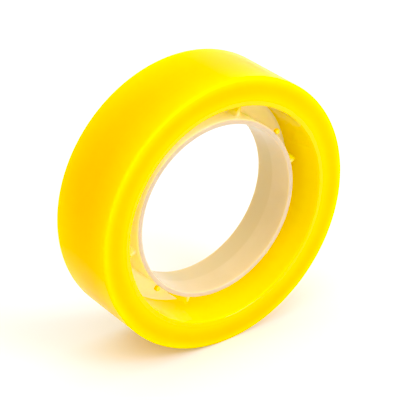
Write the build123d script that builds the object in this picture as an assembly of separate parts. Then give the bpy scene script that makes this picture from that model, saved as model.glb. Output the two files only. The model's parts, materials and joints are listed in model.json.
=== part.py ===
from build123d import *
import os
from math import cos, degrees, radians, sin

# A roll of 12 mm self-adhesive film tape on a moulded two-wall core, standing on its tread.
# The roll's axis is Y, +Z is up, and the origin is the centre of the core's bore.
# Angles run from +X towards +Z about the roll's axis.

# Roll, mm
ROLL_RADIUS = 20.5
TAPE_WIDTH = 12.0
FILM_THICKNESS = 0.04

# Core: a hub ring and an outer sleeve, joined by a thin web that lies past mid-width. Short
# ribs brace the ring on the web's near face. Depths are measured from the near side face.
BORE_RADIUS = 12.7
RING_WALL = 0.77
RING_WIDTH = 7.3
SLEEVE_WALL = 0.8
SLEEVE_OUTER_RADIUS = 17.15
WEB_DEPTH = 7.6
WEB_THICKNESS = 1.0
RIB_COUNT = 6
RIB_FIRST_ANGLE = 12.0
RIB_DEPTH = 3.4
RIB_OUTER_RADIUS = 15.2
RIB_THICKNESS = 0.6
RIM_ROUND = 0.15
CORNER_ROUND = 0.3

# Free end: the last stretch of film, stuck down in a pocket that is one lap deep
PEEL_ANGLE = 45.0
FREE_END_ANGLE = 9.0
POCKET_CLEARANCE = 0.06
PEEL_LINE_GAP = 0.03

RING_OUTER_RADIUS = BORE_RADIUS + RING_WALL
SLEEVE_INNER_RADIUS = SLEEVE_OUTER_RADIUS - SLEEVE_WALL
NEAR_FACE = -TAPE_WIDTH / 2
WEB_NEAR = NEAR_FACE + WEB_DEPTH
WEB_FAR = WEB_NEAR + WEB_THICKNESS
WEB_MIDDLE = (WEB_NEAR + WEB_FAR) / 2
RIB_NEAR = NEAR_FACE + RIB_DEPTH
POCKET_DEPTH = FILM_THICKNESS + POCKET_CLEARANCE
CUT_MARGIN = 1.0
MATCH_TOLERANCE = 0.001


def band(inner_radius, outer_radius, width):
    """A plain ring about the roll's axis, centred across the tape's width."""
    section = Plane.XZ * (Circle(outer_radius) - Circle(inner_radius))
    return extrude(section, amount=width / 2, both=True)


def arc_strip(inner_radius, outer_radius, start, end, width):
    """A strip that follows the tread from one angle to another."""
    outer = CenterArc((0, 0), outer_radius, start, end - start)
    inner = CenterArc((0, 0), inner_radius, start, end - start)
    sides = [Line(outer @ 0, inner @ 0), Line(outer @ 1, inner @ 1)]
    section = Plane.XZ * make_face([outer, inner, *sides])
    return extrude(section, amount=width / 2, both=True)


def circles_at(body, radius, *planes):
    """The circular edges of one radius whose centres are at the given places along Y."""
    edges = body.edges().filter_by(GeomType.CIRCLE)
    sized = [edge for edge in edges if abs(edge.radius - radius) < MATCH_TOLERANCE]
    return [edge for edge in sized if any(abs(edge.center().Y - y) < MATCH_TOLERANCE for y in planes)]


def rib(angle):
    """A short radial rib between the ring's outer wall and the near face of the web."""
    root = RING_OUTER_RADIUS - RING_WALL / 2
    place = Pos((root + RIB_OUTER_RADIUS) / 2, (RIB_NEAR + WEB_MIDDLE) / 2, 0)
    return Rot(0, -angle, 0) * place * Box(RIB_OUTER_RADIUS - root, WEB_MIDDLE - RIB_NEAR, RIB_THICKNESS)


def core():
    """One moulding: hub ring, web, ribs and the sleeve that the tape is wound on."""
    body = band(BORE_RADIUS, RING_OUTER_RADIUS, RING_WIDTH)
    web = band(RING_OUTER_RADIUS - RING_WALL / 2, SLEEVE_OUTER_RADIUS - SLEEVE_WALL / 2, WEB_THICKNESS)
    body += Pos(0, WEB_MIDDLE, 0) * web
    body += band(SLEEVE_INNER_RADIUS, SLEEVE_OUTER_RADIUS, TAPE_WIDTH)
    roots = circles_at(body, RING_OUTER_RADIUS, WEB_NEAR, WEB_FAR)
    roots += circles_at(body, SLEEVE_INNER_RADIUS, WEB_NEAR, WEB_FAR)
    body = fillet(roots, CORNER_ROUND)
    rims = circles_at(body, BORE_RADIUS, -RING_WIDTH / 2, RING_WIDTH / 2)
    rims += circles_at(body, RING_OUTER_RADIUS, -RING_WIDTH / 2, RING_WIDTH / 2)
    rims += circles_at(body, SLEEVE_INNER_RADIUS, -TAPE_WIDTH / 2, TAPE_WIDTH / 2)
    body = fillet(rims, RIM_ROUND)
    for index in range(RIB_COUNT):
        body += rib(RIB_FIRST_ANGLE + index * 360 / RIB_COUNT)
    return body


def tape_winding():
    """Every lap of tape but the loose stretch, with the pocket that the stretch lies in."""
    laps = band(SLEEVE_OUTER_RADIUS, ROLL_RADIUS, TAPE_WIDTH)
    pocket = arc_strip(
        ROLL_RADIUS - POCKET_DEPTH,
        ROLL_RADIUS + CUT_MARGIN,
        FREE_END_ANGLE,
        PEEL_ANGLE,
        TAPE_WIDTH + CUT_MARGIN,
    )
    return laps - pocket


def tape_free_end():
    """The end of the tape, which peels up about a line across the tread at its upper edge."""
    gap_angle = degrees(PEEL_LINE_GAP / ROLL_RADIUS)
    return arc_strip(
        ROLL_RADIUS - FILM_THICKNESS,
        ROLL_RADIUS,
        FREE_END_ANGLE + gap_angle,
        PEEL_ANGLE - gap_angle,
        TAPE_WIDTH,
    )


os.makedirs("parts", exist_ok=True)
export_step(core(), "parts/core.step")
export_step(tape_winding(), "parts/tape_winding.step")
export_step(tape_free_end(), "parts/tape_free_end.step")

peel_line = (ROLL_RADIUS * cos(radians(PEEL_ANGLE)), ROLL_RADIUS * sin(radians(PEEL_ANGLE)))
print("peel line x, z:", [round(value, 4) for value in peel_line])
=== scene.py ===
import json
from math import asin, atan2, cos, hypot, pi, radians, sin, tau

import bpy
from mathutils import Matrix, Vector


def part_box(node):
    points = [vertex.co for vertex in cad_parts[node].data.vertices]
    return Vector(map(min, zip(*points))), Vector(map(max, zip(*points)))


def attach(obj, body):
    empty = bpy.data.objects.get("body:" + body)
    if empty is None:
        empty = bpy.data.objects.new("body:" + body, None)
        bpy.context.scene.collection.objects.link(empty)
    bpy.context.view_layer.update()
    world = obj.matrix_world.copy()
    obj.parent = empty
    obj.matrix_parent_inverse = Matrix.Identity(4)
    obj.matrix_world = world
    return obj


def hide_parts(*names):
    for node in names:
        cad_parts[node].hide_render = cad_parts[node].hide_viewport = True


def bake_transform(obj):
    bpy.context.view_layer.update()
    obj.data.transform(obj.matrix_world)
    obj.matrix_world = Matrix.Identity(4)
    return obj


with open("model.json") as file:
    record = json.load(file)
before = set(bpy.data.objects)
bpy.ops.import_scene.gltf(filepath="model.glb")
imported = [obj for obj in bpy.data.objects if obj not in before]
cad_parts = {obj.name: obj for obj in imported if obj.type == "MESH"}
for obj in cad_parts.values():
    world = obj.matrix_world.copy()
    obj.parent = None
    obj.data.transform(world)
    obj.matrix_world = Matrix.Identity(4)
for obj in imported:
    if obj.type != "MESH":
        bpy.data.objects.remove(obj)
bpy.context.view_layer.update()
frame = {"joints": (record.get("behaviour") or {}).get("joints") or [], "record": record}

MM = 0.001

# Sizes that the frame gives
peel_x, _, peel_z = frame["joints"][0]["pos_m"]
ROLL_R = hypot(peel_x, peel_z)
PEEL_ANGLE = atan2(peel_z, peel_x)
_, winding_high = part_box("tape_winding")
core_low, core_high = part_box("core")
free_low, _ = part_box("tape_free_end")
HALF_WIDTH = winding_high.y
SLEEVE_OUT_R = (core_high.x - core_low.x) / 2
FREE_END_ANGLE = asin(free_low.z / ROLL_R)
bore = next(m for m in frame["record"]["mounts"] if m["name"] == "spindle_bore")
BORE_R = bore["dims"]["r_mm"] * MM
BORE_HALF = bore["dims"]["length_mm"] * MM / 2

# Core details
RING_WALL = 0.77 * MM
SLEEVE_WALL = 0.8 * MM
WEB_DEPTH = 7.6 * MM
WEB_THICKNESS = 1.0 * MM
RIB_DEPTH = 3.4 * MM
RIB_OUT_R = 15.2 * MM
RIB_COUNT = 6
RIB_FIRST_ANGLE = radians(12)
RIM_ROUND = 0.15 * MM
FLOOR_FILLET = 0.3 * MM
BORE_DRAFT = 0.06 * MM
RING_R = BORE_R + RING_WALL
RING_HALF = BORE_HALF + RIM_ROUND
SLEEVE_IN_R = SLEEVE_OUT_R - SLEEVE_WALL
WEB_NEAR = -HALF_WIDTH + WEB_DEPTH
WEB_FAR = WEB_NEAR + WEB_THICKNESS
RIB_HEIGHT = WEB_DEPTH - RIB_DEPTH
# Half of a rib's section, from the web to its middle: distance from its middle plane in mm, and
# height over the web as a part of the rib's whole height
RIB_SECTION = [
    (0.90, 0), (0.74, 0.005), (0.62, 0.02), (0.54, 0.07), (0.51, 0.16), (0.48, 0.40),
    (0.44, 0.68), (0.40, 0.90), (0.36, 0.96), (0.30, 0.99), (0.20, 1), (0, 1),
]
# A rib's outline along the channel: place as a part of its length from the ring, and height as
# a part of its whole height
RIB_OUTLINE = [
    (0.35, 1), (0.60, 1), (0.80, 0.985), (0.90, 0.94), (0.95, 0.85), (0.98, 0.60),
    (1.00, 0.25), (1.04, 0.05), (1.12, 0),
]
RIB_TIP_SHARE = 0.4
COLUMNS_BETWEEN_RIBS = 16
SHARP_CORNER = radians(50)

# Two stubs on the ring's outer wall, opposite each other
GATE_ANGLE = radians(41.5)
GATE_RADIUS = 0.4 * MM
GATE_R = RING_R + 0.35 * MM
GATE_TIP_Y = -RING_HALF - 0.15 * MM
GATE_LENGTH = 0.5 * MM
GATE_SIDES = 20

# Tape
EDGE_ROUND = 0.35 * MM
FILM = 0.04 * MM
FILM_REST_GAP = 0.01 * MM
FREE_END_INSET = 0.05 * MM
WINDING_STEPS = 288
FREE_END_ROWS = 48
FREE_END_COLUMNS = 80

# Stage: the camera's distance and aim are in roll radii
FLOOR_HALF = 3.0
FLOOR_GREY = 0.80
CAMERA_AZIMUTH = radians(-36.2)
CAMERA_ELEVATION = radians(28.68)
CAMERA_DISTANCE = 12.06
AIM_LEFT = 0.189
AIM_UP = 0.1117
LENS = 160.5
SENSOR_WIDTH = 36.0
HORIZON_LIGHT = 0.95
OVERHEAD_LIGHT = 1.4
KEY_PLACE = Vector((0.20, -0.43, 0.38))
KEY_SIZE = 0.30
KEY_POWER = 1.6
VEIL = 0.05

# Colours, linear
TAPE_DEEP = (1.0, 0.515, 0.0, 1)
# Painted glow: the film's colour where light enters at its edges
TAPE_PAINTED_GLOW = (1.0, 0.65, 0.0, 1)
TAPE_LETS_THROUGH = (0.72, 0.71, 0.35, 1)
SLEEVE_RIM = (1.0, 0.57, 0.0, 1)
# Sleeve wall: the film's yellow seen through the clear sleeve, painted brighter than the rim as glow
SLEEVE_YELLOW_PAINTED_GLOW = (1.0, 0.76, 0.0, 1)
# Rib sides painted brighter than their tops: painted glow in place of the shade between ribs
RIB_SIDE_PAINTED_GLOW = (1.0, 0.86, 0.0, 1)
RIB_TOP = (1.0, 0.60, 0.0, 1)
TAN = (0.66, 0.535, 0.285, 1)
PALE_TAN = (0.69, 0.565, 0.31, 1)
# Painted shade on the bore's far half
FAR_TAN_PAINTED_SHADE = (0.64, 0.515, 0.265, 1)
RIM_TAN = (0.57, 0.475, 0.355, 1)
# The channel side of the same plastic painted lighter than the bore side: painted light
CREAM_PAINTED_LIGHT = (0.93, 0.85, 0.74, 1)
CORE_LETS_THROUGH = (0.90, 0.86, 0.74, 1)
# Dark amber painted on the stubs as shade
STUB_SHADE = (0.86, 0.54, 0.01, 1)
PALE_STUB_SHADE = (0.94, 0.66, 0.04, 1)


# ---------------------------------------------------------------- materials

def new_material(name):
    material = bpy.data.materials.new(name)
    material.use_nodes = True
    tree = material.node_tree
    shader = tree.nodes["Principled BSDF"]
    return material, tree, shader


def node(tree, kind, **settings):
    made = tree.nodes.new(kind)
    for key, value in settings.items():
        setattr(made, key, value)
    return made


def math_node(tree, operation, a, b=None, clamp=False):
    made = node(tree, "ShaderNodeMath", operation=operation, use_clamp=clamp)
    for socket, value in zip(made.inputs, (a, b)):
        if value is None:
            continue
        if isinstance(value, (int, float)):
            socket.default_value = value
        else:
            tree.links.new(value, socket)
    return made.outputs[0]


def map_range(tree, value, from_min, from_max, to_min=0.0, to_max=1.0, kind="SMOOTHSTEP"):
    made = node(tree, "ShaderNodeMapRange", interpolation_type=kind)
    tree.links.new(value, made.inputs["Value"])
    made.inputs["From Min"].default_value = from_min
    made.inputs["From Max"].default_value = from_max
    made.inputs["To Min"].default_value = to_min
    made.inputs["To Max"].default_value = to_max
    return made.outputs["Result"]


def mix_colour(tree, factor, a, b):
    made = node(tree, "ShaderNodeMix", data_type="RGBA")
    for socket, value in zip((made.inputs[0], made.inputs[6], made.inputs[7]), (factor, a, b)):
        if isinstance(value, (int, float, tuple)):
            socket.default_value = value
        else:
            tree.links.new(value, socket)
    return made.outputs[2]


def mix_value(tree, factor, a, b):
    made = node(tree, "ShaderNodeMix", data_type="FLOAT")
    for socket, value in zip((made.inputs[0], made.inputs[2], made.inputs[3]), (factor, a, b)):
        if isinstance(value, (int, float)):
            socket.default_value = value
        else:
            tree.links.new(value, socket)
    return made.outputs[0]


def roll_coordinates(tree):
    """Distance from the roll's axis, place across its width, and raw object coordinates."""
    coordinates = node(tree, "ShaderNodeTexCoord").outputs["Object"]
    split = node(tree, "ShaderNodeSeparateXYZ")
    tree.links.new(coordinates, split.inputs[0])
    x2 = math_node(tree, "MULTIPLY", split.outputs["X"], split.outputs["X"])
    z2 = math_node(tree, "MULTIPLY", split.outputs["Z"], split.outputs["Z"])
    radius = math_node(tree, "SQRT", math_node(tree, "ADD", x2, z2))
    return radius, split.outputs["Y"], coordinates


def noise_on(tree, vector_parts, scale, detail=2.0, roughness=0.5):
    """Noise over a vector made of three sockets or numbers."""
    join = node(tree, "ShaderNodeCombineXYZ")
    for socket, value in zip(join.inputs, vector_parts):
        if isinstance(value, (int, float)):
            socket.default_value = value
        else:
            tree.links.new(value, socket)
    made = node(tree, "ShaderNodeTexNoise")
    tree.links.new(join.outputs[0], made.inputs["Vector"])
    made.inputs["Scale"].default_value = scale
    made.inputs["Detail"].default_value = detail
    made.inputs["Roughness"].default_value = roughness
    return made.outputs["Fac"]


def let_light_through(tree, shader, colour):
    """Light that crosses the surface on its way from a lamp is tinted, not stopped."""
    clear = node(tree, "ShaderNodeBsdfTransparent")
    clear.inputs["Color"].default_value = colour
    mix = node(tree, "ShaderNodeMixShader")
    tree.links.new(node(tree, "ShaderNodeLightPath").outputs["Is Shadow Ray"], mix.inputs[0])
    tree.links.new(shader.outputs[0], mix.inputs[1])
    tree.links.new(clear.outputs[0], mix.inputs[2])
    tree.links.new(mix.outputs[0], tree.nodes["Material Output"].inputs["Surface"])


def tape_material(name, glows):
    """Glossy yellow film with the laps as fine rings. Painted glow makes its colour brighter towards its
    edges, for the light they let in.
    Wound tight it glows from within; a single lap does not."""
    material, tree, shader = new_material(name)
    radius, across, coordinates = roll_coordinates(tree)
    side = math_node(tree, "DIVIDE", math_node(tree, "ABSOLUTE", across), HALF_WIDTH)
    middle_r = (SLEEVE_OUT_R + ROLL_R) / 2
    outer_laps = map_range(tree, radius, middle_r, ROLL_R)
    inner_laps = map_range(tree, radius, middle_r, SLEEVE_OUT_R, 0.0, 0.4)
    lit_laps = math_node(tree, "ADD", outer_laps, inner_laps)
    # Painted glow: brighter towards the faces, most at the outer laps and a little at the inner ones
    painted_edge_glow = math_node(tree, "MULTIPLY", math_node(tree, "POWER", side, 2.0), lit_laps)
    laps = noise_on(tree, (radius, 0.0, 0.0), 9000.0, 3.0, 0.7)
    streaks = noise_on(tree, (across, 0.0, radius), 1400.0, 2.0, 0.6)
    half_laps = math_node(tree, "MULTIPLY", laps, 0.5)
    half_streaks = math_node(tree, "MULTIPLY", streaks, 0.5)
    variation = math_node(tree, "ADD", half_laps, half_streaks)
    variation = map_range(tree, variation, 0.3, 0.7, -0.06, 0.06, "LINEAR")
    cloud = node(tree, "ShaderNodeTexNoise")
    tree.links.new(coordinates, cloud.inputs["Vector"])
    cloud.inputs["Scale"].default_value = 55.0
    cloud.inputs["Detail"].default_value = 1.0
    patches = map_range(tree, cloud.outputs["Fac"], 0.3, 0.7, -0.08, 0.12)
    variation = math_node(tree, "ADD", variation, patches)
    factor = math_node(tree, "ADD", painted_edge_glow, variation, clamp=True)
    colour = mix_colour(tree, factor, TAPE_DEEP, TAPE_PAINTED_GLOW)
    tree.links.new(colour, shader.inputs["Base Color"])
    bump = node(tree, "ShaderNodeBump")
    bump.inputs["Strength"].default_value = 0.15
    bump.inputs["Distance"].default_value = 0.02 * MM
    tree.links.new(laps, bump.inputs["Height"])
    tree.links.new(bump.outputs["Normal"], shader.inputs["Normal"])
    shader.inputs["Roughness"].default_value = 0.25
    shader.inputs["Specular IOR Level"].default_value = 0.06
    if glows:
        clear = map_range(tree, radius, SLEEVE_OUT_R + 0.3 * MM, SLEEVE_OUT_R + 1.5 * MM)
        tree.links.new(clear, shader.inputs["Subsurface Weight"])
        shader.inputs["Subsurface Radius"].default_value = (1.0, 0.7, 0.05)
        shader.inputs["Subsurface Scale"].default_value = 1.2 * MM
    let_light_through(tree, shader, TAPE_LETS_THROUGH)
    return material


def core_material():
    """Natural polypropylene, cream at the hub. Where it backs the film it shows the film's yellow,
    brightened by painted glow. Painted light from the film tints the web and ribs yellow towards the sleeve.
    The channel side is painted lighter than the bore, and the bore's far half carries painted shade.
    """
    material, tree, shader = new_material("natural_plastic")
    radius, across, coordinates = roll_coordinates(tree)
    on_sleeve = map_range(tree, radius, SLEEVE_IN_R - 0.15 * MM, SLEEVE_IN_R - 0.02 * MM)
    toward_sleeve = map_range(tree, radius, RING_R, SLEEVE_IN_R, 0.0, 1.0, "LINEAR")
    on_rib = map_range(tree, across, WEB_NEAR - 0.1 * MM, WEB_NEAR - 0.5 * MM)
    # Painted light: yellow from light through the film, growing on the web towards the sleeve and on the
    # ribs towards their tips
    web_painted_film_light = math_node(tree, "MULTIPLY", toward_sleeve, 0.08)
    toward_tip = map_range(tree, radius, RING_R, RIB_OUT_R, 0.0, 1.0, "LINEAR")
    rib_painted_film_light = math_node(tree, "POWER", toward_tip, 0.45)
    between = mix_value(tree, on_rib, web_painted_film_light, rib_painted_film_light)
    # Share of yellow: painted film light on the web and ribs; the film's yellow with painted glow on the
    # sleeve
    tint = math_node(tree, "MAXIMUM", between, on_sleeve)
    mottle = node(tree, "ShaderNodeTexNoise")
    tree.links.new(coordinates, mottle.inputs["Vector"])
    mottle.inputs["Scale"].default_value = 220.0
    mottle.inputs["Detail"].default_value = 3.0
    cloud = map_range(tree, mottle.outputs["Fac"], 0.35, 0.65, 0.0, 1.0, "LINEAR")
    # Painted shade: the bore darker past mid-width
    painted_shade_past_middle = map_range(tree, across, 0.05 * MM, 0.45 * MM)
    tan = mix_colour(tree, painted_shade_past_middle, mix_colour(tree, cloud, TAN, PALE_TAN), FAR_TAN_PAINTED_SHADE)
    # Painted light: the ring's channel side and the web lighter than the bore side
    in_channel = map_range(tree, radius, RING_R - 0.06 * MM, RING_R - 0.01 * MM)
    plain = mix_colour(tree, in_channel, tan, CREAM_PAINTED_LIGHT)
    near_rim = map_range(tree, across, 0.12 * MM - RING_HALF, 0.02 * MM - RING_HALF)
    plain = mix_colour(tree, near_rim, plain, RIM_TAN)
    rib_near = WEB_NEAR - RIB_HEIGHT
    # The rib's top and its painted-glow sides
    rib_top = map_range(tree, across, rib_near + 0.3 * MM, rib_near + 0.05 * MM)
    rib_painted_glow = mix_colour(tree, rib_top, RIB_SIDE_PAINTED_GLOW, RIB_TOP)
    side = math_node(tree, "ABSOLUTE", across)
    at_rim = map_range(tree, side, HALF_WIDTH - RIM_ROUND, HALF_WIDTH - 0.02 * MM)
    # The sleeve wall is painted brighter than its rim: painted glow in the deep channel
    sleeve_yellow_painted_glow = mix_colour(tree, at_rim, SLEEVE_YELLOW_PAINTED_GLOW, SLEEVE_RIM)
    yellow = mix_colour(tree, on_sleeve, rib_painted_glow, sleeve_yellow_painted_glow)
    colour = mix_colour(tree, tint, plain, yellow)
    tree.links.new(colour, shader.inputs["Base Color"])
    fine = node(tree, "ShaderNodeTexNoise")
    tree.links.new(coordinates, fine.inputs["Vector"])
    fine.inputs["Scale"].default_value = 2500.0
    bump = node(tree, "ShaderNodeBump")
    bump.inputs["Strength"].default_value = 0.06
    bump.inputs["Distance"].default_value = 0.02 * MM
    tree.links.new(fine.outputs["Fac"], bump.inputs["Height"])
    tree.links.new(bump.outputs["Normal"], shader.inputs["Normal"])
    gloss = mix_value(tree, on_sleeve, 0.22, 0.05)
    tree.links.new(gloss, shader.inputs["Roughness"])
    shader.inputs["Specular IOR Level"].default_value = 0.5
    clear = map_range(tree, radius, SLEEVE_IN_R - 1.0 * MM, SLEEVE_IN_R - 0.2 * MM, 1.0, 0.0)
    tree.links.new(clear, shader.inputs["Subsurface Weight"])
    shader.inputs["Subsurface Radius"].default_value = (1.0, 0.8, 0.5)
    shader.inputs["Subsurface Scale"].default_value = 1.2 * MM
    let_light_through(tree, shader, CORE_LETS_THROUGH)
    return material


def floor_material():
    material, tree, shader = new_material("pale_floor")
    shader.inputs["Base Color"].default_value = (FLOOR_GREY, FLOOR_GREY, FLOOR_GREY, 1)
    shader.inputs["Roughness"].default_value = 0.9
    shader.inputs["Specular IOR Level"].default_value = 0.1
    return material


# ---------------------------------------------------------------- meshes

def mesh_object(name, vertices, faces, material):
    mesh = bpy.data.meshes.new(name)
    mesh.from_pydata(vertices, [], faces)
    mesh.validate()
    mesh.shade_smooth()
    mesh.set_sharp_from_angle(angle=SHARP_CORNER)
    mesh.materials.append(material)
    made = bpy.data.objects.new(name, mesh)
    bpy.context.scene.collection.objects.link(made)
    return made


def closed_ring(name, columns, material):
    """A ring-shaped mesh from sections, each a closed loop of points, joined in a closed circle."""
    rows = len(columns[0])
    vertices = [point for column in columns for point in column]
    faces = []
    for i in range(len(columns)):
        j = (i + 1) % len(columns)
        for k in range(rows):
            m = (k + 1) % rows
            faces.append((i * rows + k, i * rows + m, j * rows + m, j * rows + k))
    return mesh_object(name, vertices, faces, material)


def arc_points(centre_r, centre_y, radius, start, end, steps):
    """Points of a rounding in the section plane, from one direction to another."""
    angles = [radians(start + (end - start) * i / steps) for i in range(steps + 1)]
    return [(centre_r + radius * cos(a), centre_y + radius * sin(a)) for a in angles]


def run(a, b, steps):
    """Points from a to b, without either end."""
    return [(a[0] + (b[0] - a[0]) * i / steps, a[1] + (b[1] - a[1]) * i / steps) for i in range(1, steps)]


def core_side_section(floor, rise=0.0):
    """One side of the core's section, as radius and height over mid-width: from mid-width on the
    bore, over the ring and the channel's floor, to mid-width on the outside. By the ring the
    floor rises to a rib."""
    rim, fillet = RIM_ROUND, FLOOR_FILLET
    bore_edge = (BORE_R + BORE_DRAFT, RING_HALF - rim)
    points = [(BORE_R, 0.0)]
    points += run(points[0], bore_edge, 8)
    points += arc_points(bore_edge[0] + rim, bore_edge[1], rim, 180, 90, 4)
    points += arc_points(RING_R - rim, RING_HALF - rim, rim, 90, 0, 4)
    top = floor + rise
    points += run(points[-1], (RING_R, top + fillet), 8)
    points += arc_points(RING_R + fillet, top + fillet, fillet, 180, 270, 5)
    points += [(RING_R + (RIB_OUT_R - RING_R) * along, floor + rise * part) for along, part in RIB_OUTLINE]
    points += run(points[-1], (SLEEVE_IN_R - fillet, floor), 3)
    points += arc_points(SLEEVE_IN_R - fillet, floor + fillet, fillet, 270, 360, 5)
    points += run(points[-1], (SLEEVE_IN_R, HALF_WIDTH - rim), 12)
    points += arc_points(SLEEVE_IN_R + rim, HALF_WIDTH - rim, rim, 180, 90, 4)
    points += [(SLEEVE_OUT_R, HALF_WIDTH)]
    points += run(points[-1], (SLEEVE_OUT_R, 0.0), 6)
    return points


def core_section(height):
    """The core's closed section where the web's near face rises by a height beside the ring."""
    near = [(r, -y) for r, y in core_side_section(-WEB_NEAR, height)]
    far = core_side_section(WEB_FAR)
    return near + [(SLEEVE_OUT_R, 0.0)] + list(reversed(far[1:]))


def rib_taper(r):
    """How a rib's thickness changes along the channel: full at the ring, least at its tip."""
    if r <= RIB_OUT_R:
        return 1 - (1 - RIB_TIP_SHARE) * max(0.0, r - RING_R) / (RIB_OUT_R - RING_R)
    return RIB_TIP_SHARE + (1 - RIB_TIP_SHARE) * min(1.0, (r - RIB_OUT_R) / (SLEEVE_IN_R - RIB_OUT_R))


def core_columns():
    """The sections of the core: a fan of them across each rib, and even ones between ribs."""
    section_half = [(offset * MM, height * RIB_HEIGHT) for offset, height in RIB_SECTION]
    across_rib = [(-o, h) for o, h in section_half] + [(o, h) for o, h in reversed(section_half[:-1])]
    widest = asin(section_half[0][0] / BORE_R)
    columns = []
    for rib in range(RIB_COUNT):
        middle = RIB_FIRST_ANGLE + rib * tau / RIB_COUNT
        for offset, height in across_rib:
            column = []
            for r, y in core_section(height):
                angle = middle + asin(offset * rib_taper(r) / r)
                column.append((r * cos(angle), y, r * sin(angle)))
            columns.append(column)
        gap = tau / RIB_COUNT - 2 * widest
        for i in range(1, COLUMNS_BETWEEN_RIBS):
            angle = middle + widest + gap * i / COLUMNS_BETWEEN_RIBS
            columns.append([(r * cos(angle), y, r * sin(angle)) for r, y in core_section(0.0)])
    return columns


def build_core():
    piece = closed_ring("core_moulding", core_columns(), core_material())
    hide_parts("core")
    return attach(piece, "roll")


def gate_material():
    """The moulding's plastic on the stubs, painted dark amber as shade and mottled by noise."""
    material, tree, shader = new_material("stub_painted_shade")
    coordinates = node(tree, "ShaderNodeTexCoord").outputs["Object"]
    torn = node(tree, "ShaderNodeTexNoise")
    tree.links.new(coordinates, torn.inputs["Vector"])
    torn.inputs["Scale"].default_value = 3000.0
    colour = mix_colour(tree, torn.outputs["Fac"], STUB_SHADE, PALE_STUB_SHADE)
    tree.links.new(colour, shader.inputs["Base Color"])
    bump = node(tree, "ShaderNodeBump")
    bump.inputs["Distance"].default_value = 0.05 * MM
    tree.links.new(torn.outputs["Fac"], bump.inputs["Height"])
    tree.links.new(bump.outputs["Normal"], shader.inputs["Normal"])
    shader.inputs["Roughness"].default_value = 0.4
    return material


def build_gate_marks():
    """Two short stubs, opposite each other on the ring's outer wall at its near rim, that carry
    dark amber painted shade."""
    tip = arc_points(GATE_RADIUS - RIM_ROUND, GATE_TIP_Y + RIM_ROUND, RIM_ROUND, 0, -90, 4)
    profile = [(GATE_RADIUS, GATE_TIP_Y + GATE_LENGTH)] + tip
    vertices, faces = [], []
    for angle in (GATE_ANGLE, GATE_ANGLE + pi):
        middle = Vector((GATE_R * cos(angle), 0, GATE_R * sin(angle)))
        first = len(vertices)
        for r, y in profile:
            turns = [tau * k / GATE_SIDES for k in range(GATE_SIDES)]
            vertices += [(middle.x + r * cos(turn), y, middle.z + r * sin(turn)) for turn in turns]
        for row in range(len(profile) - 1):
            for k in range(GATE_SIDES):
                a = first + row * GATE_SIDES
                m = (k + 1) % GATE_SIDES
                faces.append((a + k, a + GATE_SIDES + k, a + GATE_SIDES + m, a + m))
        last = len(vertices) - GATE_SIDES
        faces.append(tuple(range(first, first + GATE_SIDES)))
        faces.append(tuple(range(last + GATE_SIDES - 1, last - 1, -1)))
    piece = mesh_object("gate_stubs", vertices, faces, gate_material())
    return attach(piece, "roll")


def winding_section(outer_r):
    """The winding's closed section, with soft outer corners."""
    y = HALF_WIDTH
    half = [(SLEEVE_OUT_R, 0.0)]
    half += run(half[0], (SLEEVE_OUT_R, y), 4)
    half += [(SLEEVE_OUT_R, y)]
    half += run(half[-1], (outer_r - EDGE_ROUND, y), 14)
    half += arc_points(outer_r - EDGE_ROUND, y - EDGE_ROUND, EDGE_ROUND, 90, 0, 6)
    half += run(half[-1], (outer_r, 0.0), 10)
    near = [(r, -y) for r, y in half]
    return near + [(outer_r, 0.0)] + [(r, y) for r, y in reversed(half[1:])]


def build_winding():
    """The laps of tape. Under the free end the roll is one lap thinner."""
    under = ROLL_R - FILM - FILM_REST_GAP
    columns = []
    for i in range(WINDING_STEPS):
        angle = PEEL_ANGLE + tau * i / WINDING_STEPS
        outer_r = ROLL_R
        if i and angle >= FREE_END_ANGLE + tau:
            outer_r = under
        columns.append([(r * cos(angle), y, r * sin(angle)) for r, y in winding_section(outer_r)])
    columns.append([(r * cos(PEEL_ANGLE), y, r * sin(PEEL_ANGLE)) for r, y in winding_section(under)])
    piece = closed_ring("wound_tape", columns, tape_material("yellow_film", True))
    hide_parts("tape_winding")
    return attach(piece, "roll")


def edge_drop(y):
    """How far the winding's rounded edge falls away from its tread at a place across the width."""
    past = max(0.0, abs(y) - (HALF_WIDTH - EDGE_ROUND))
    return EDGE_ROUND - (EDGE_ROUND ** 2 - past ** 2) ** 0.5


def build_free_end():
    """The last stretch of film, which follows the rounded edges and ends at the peel line."""
    across, along = FREE_END_COLUMNS, FREE_END_ROWS
    half = HALF_WIDTH - FREE_END_INSET
    vertices, faces = [], []
    for layer in (ROLL_R - FILM, ROLL_R):
        for i in range(along + 1):
            angle = PEEL_ANGLE - (PEEL_ANGLE - FREE_END_ANGLE) * i / along
            for k in range(across + 1):
                y = -half + 2 * half * k / across
                r = layer - edge_drop(y)
                vertices.append((r * cos(angle), y, r * sin(angle)))
    width = across + 1
    sheet = (along + 1) * width
    for i in range(along):
        for k in range(across):
            a = i * width + k
            faces.append((a, a + width, a + width + 1, a + 1))
            b = a + sheet
            faces.append((b, b + 1, b + width + 1, b + width))
    rim = [i * width for i in range(along + 1)]
    rim += [along * width + k for k in range(1, across + 1)]
    rim += [i * width + across for i in range(along - 1, -1, -1)]
    rim += [k for k in range(across - 1, 0, -1)]
    for a, b in zip(rim, rim[1:] + rim[:1]):
        faces.append((a, a + sheet, b + sheet, b))
    piece = mesh_object("tape_end_film", vertices, faces, tape_material("yellow_film_end", False))
    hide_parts("tape_free_end")
    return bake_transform(piece)


# ---------------------------------------------------------------- stage

def build_floor():
    half, z = FLOOR_HALF, -ROLL_R
    corners = [(-half, -half, z), (half, -half, z), (half, half, z), (-half, half, z)]
    floor = mesh_object("floor", corners, [(0, 1, 2, 3)], floor_material())


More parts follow.
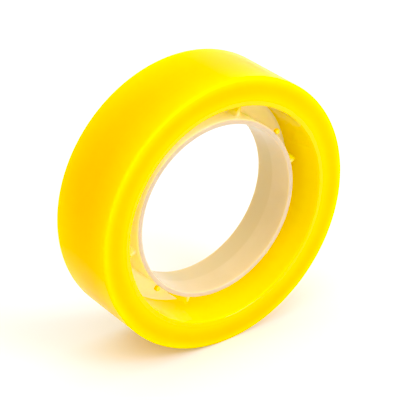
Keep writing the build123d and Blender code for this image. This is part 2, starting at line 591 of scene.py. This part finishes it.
def build_camera():
    """A long lens, turned to the roll's left and raised, with the roll a little off the picture's centre."""
    azimuth, elevation = CAMERA_AZIMUTH, CAMERA_ELEVATION
    forward = Vector((-sin(azimuth) * cos(elevation), cos(azimuth) * cos(elevation), -sin(elevation)))
    right = forward.cross(Vector((0, 0, 1))).normalized()
    up = right.cross(forward)
    near_face = Vector((0, -HALF_WIDTH, 0))
    aim = near_face - ROLL_R * (AIM_LEFT * right - AIM_UP * up)
    data = bpy.data.cameras.new("camera")
    data.lens = LENS
    data.sensor_width = SENSOR_WIDTH
    data.clip_start = 0.01
    data.clip_end = 20.0
    camera = bpy.data.objects.new("camera", data)
    camera.matrix_world = Matrix.Translation(aim - forward * CAMERA_DISTANCE * ROLL_R) @ Matrix(
        (right, up, -forward)
    ).transposed().to_4x4()
    bpy.context.scene.collection.objects.link(camera)
    bpy.context.scene.camera = camera


def build_key():
    """One round soft light, aimed at the roll's centre."""
    data = bpy.data.lights.new("key", "AREA")
    data.shape = "DISK"
    data.size = KEY_SIZE
    data.energy = KEY_POWER
    light = bpy.data.objects.new("key", data)
    light.location = KEY_PLACE
    light.rotation_mode = "QUATERNION"
    light.rotation_quaternion = (-KEY_PLACE).to_track_quat("-Z", "Y")
    bpy.context.scene.collection.objects.link(light)


def build_world():
    """An even white studio, brighter overhead than at the horizon."""
    world = bpy.data.worlds.new("studio")
    world.use_nodes = True
    tree = world.node_tree
    direction = node(tree, "ShaderNodeTexCoord").outputs["Generated"]
    split = node(tree, "ShaderNodeSeparateXYZ")
    tree.links.new(direction, split.inputs[0])
    strength = map_range(tree, split.outputs["Z"], 0.0, 1.0, HORIZON_LIGHT, OVERHEAD_LIGHT, "LINEAR")
    tree.links.new(strength, tree.nodes["Background"].inputs["Strength"])
    tree.nodes["Background"].inputs["Color"].default_value = (1, 1, 1, 1)
    bpy.context.scene.world = world


def build_grade():
    """A print-like grade: the faint veil of white gloss over the deepest colours goes to black."""
    view = bpy.context.scene.view_settings
    view.view_transform = "Standard"
    view.use_curve_mapping = True
    view.curve_mapping.black_level = (VEIL, VEIL, VEIL)
    view.curve_mapping.update()


build_grade()
build_camera()
build_world()
build_key()
build_floor()
build_core()
build_gate_marks()
build_winding()
build_free_end()
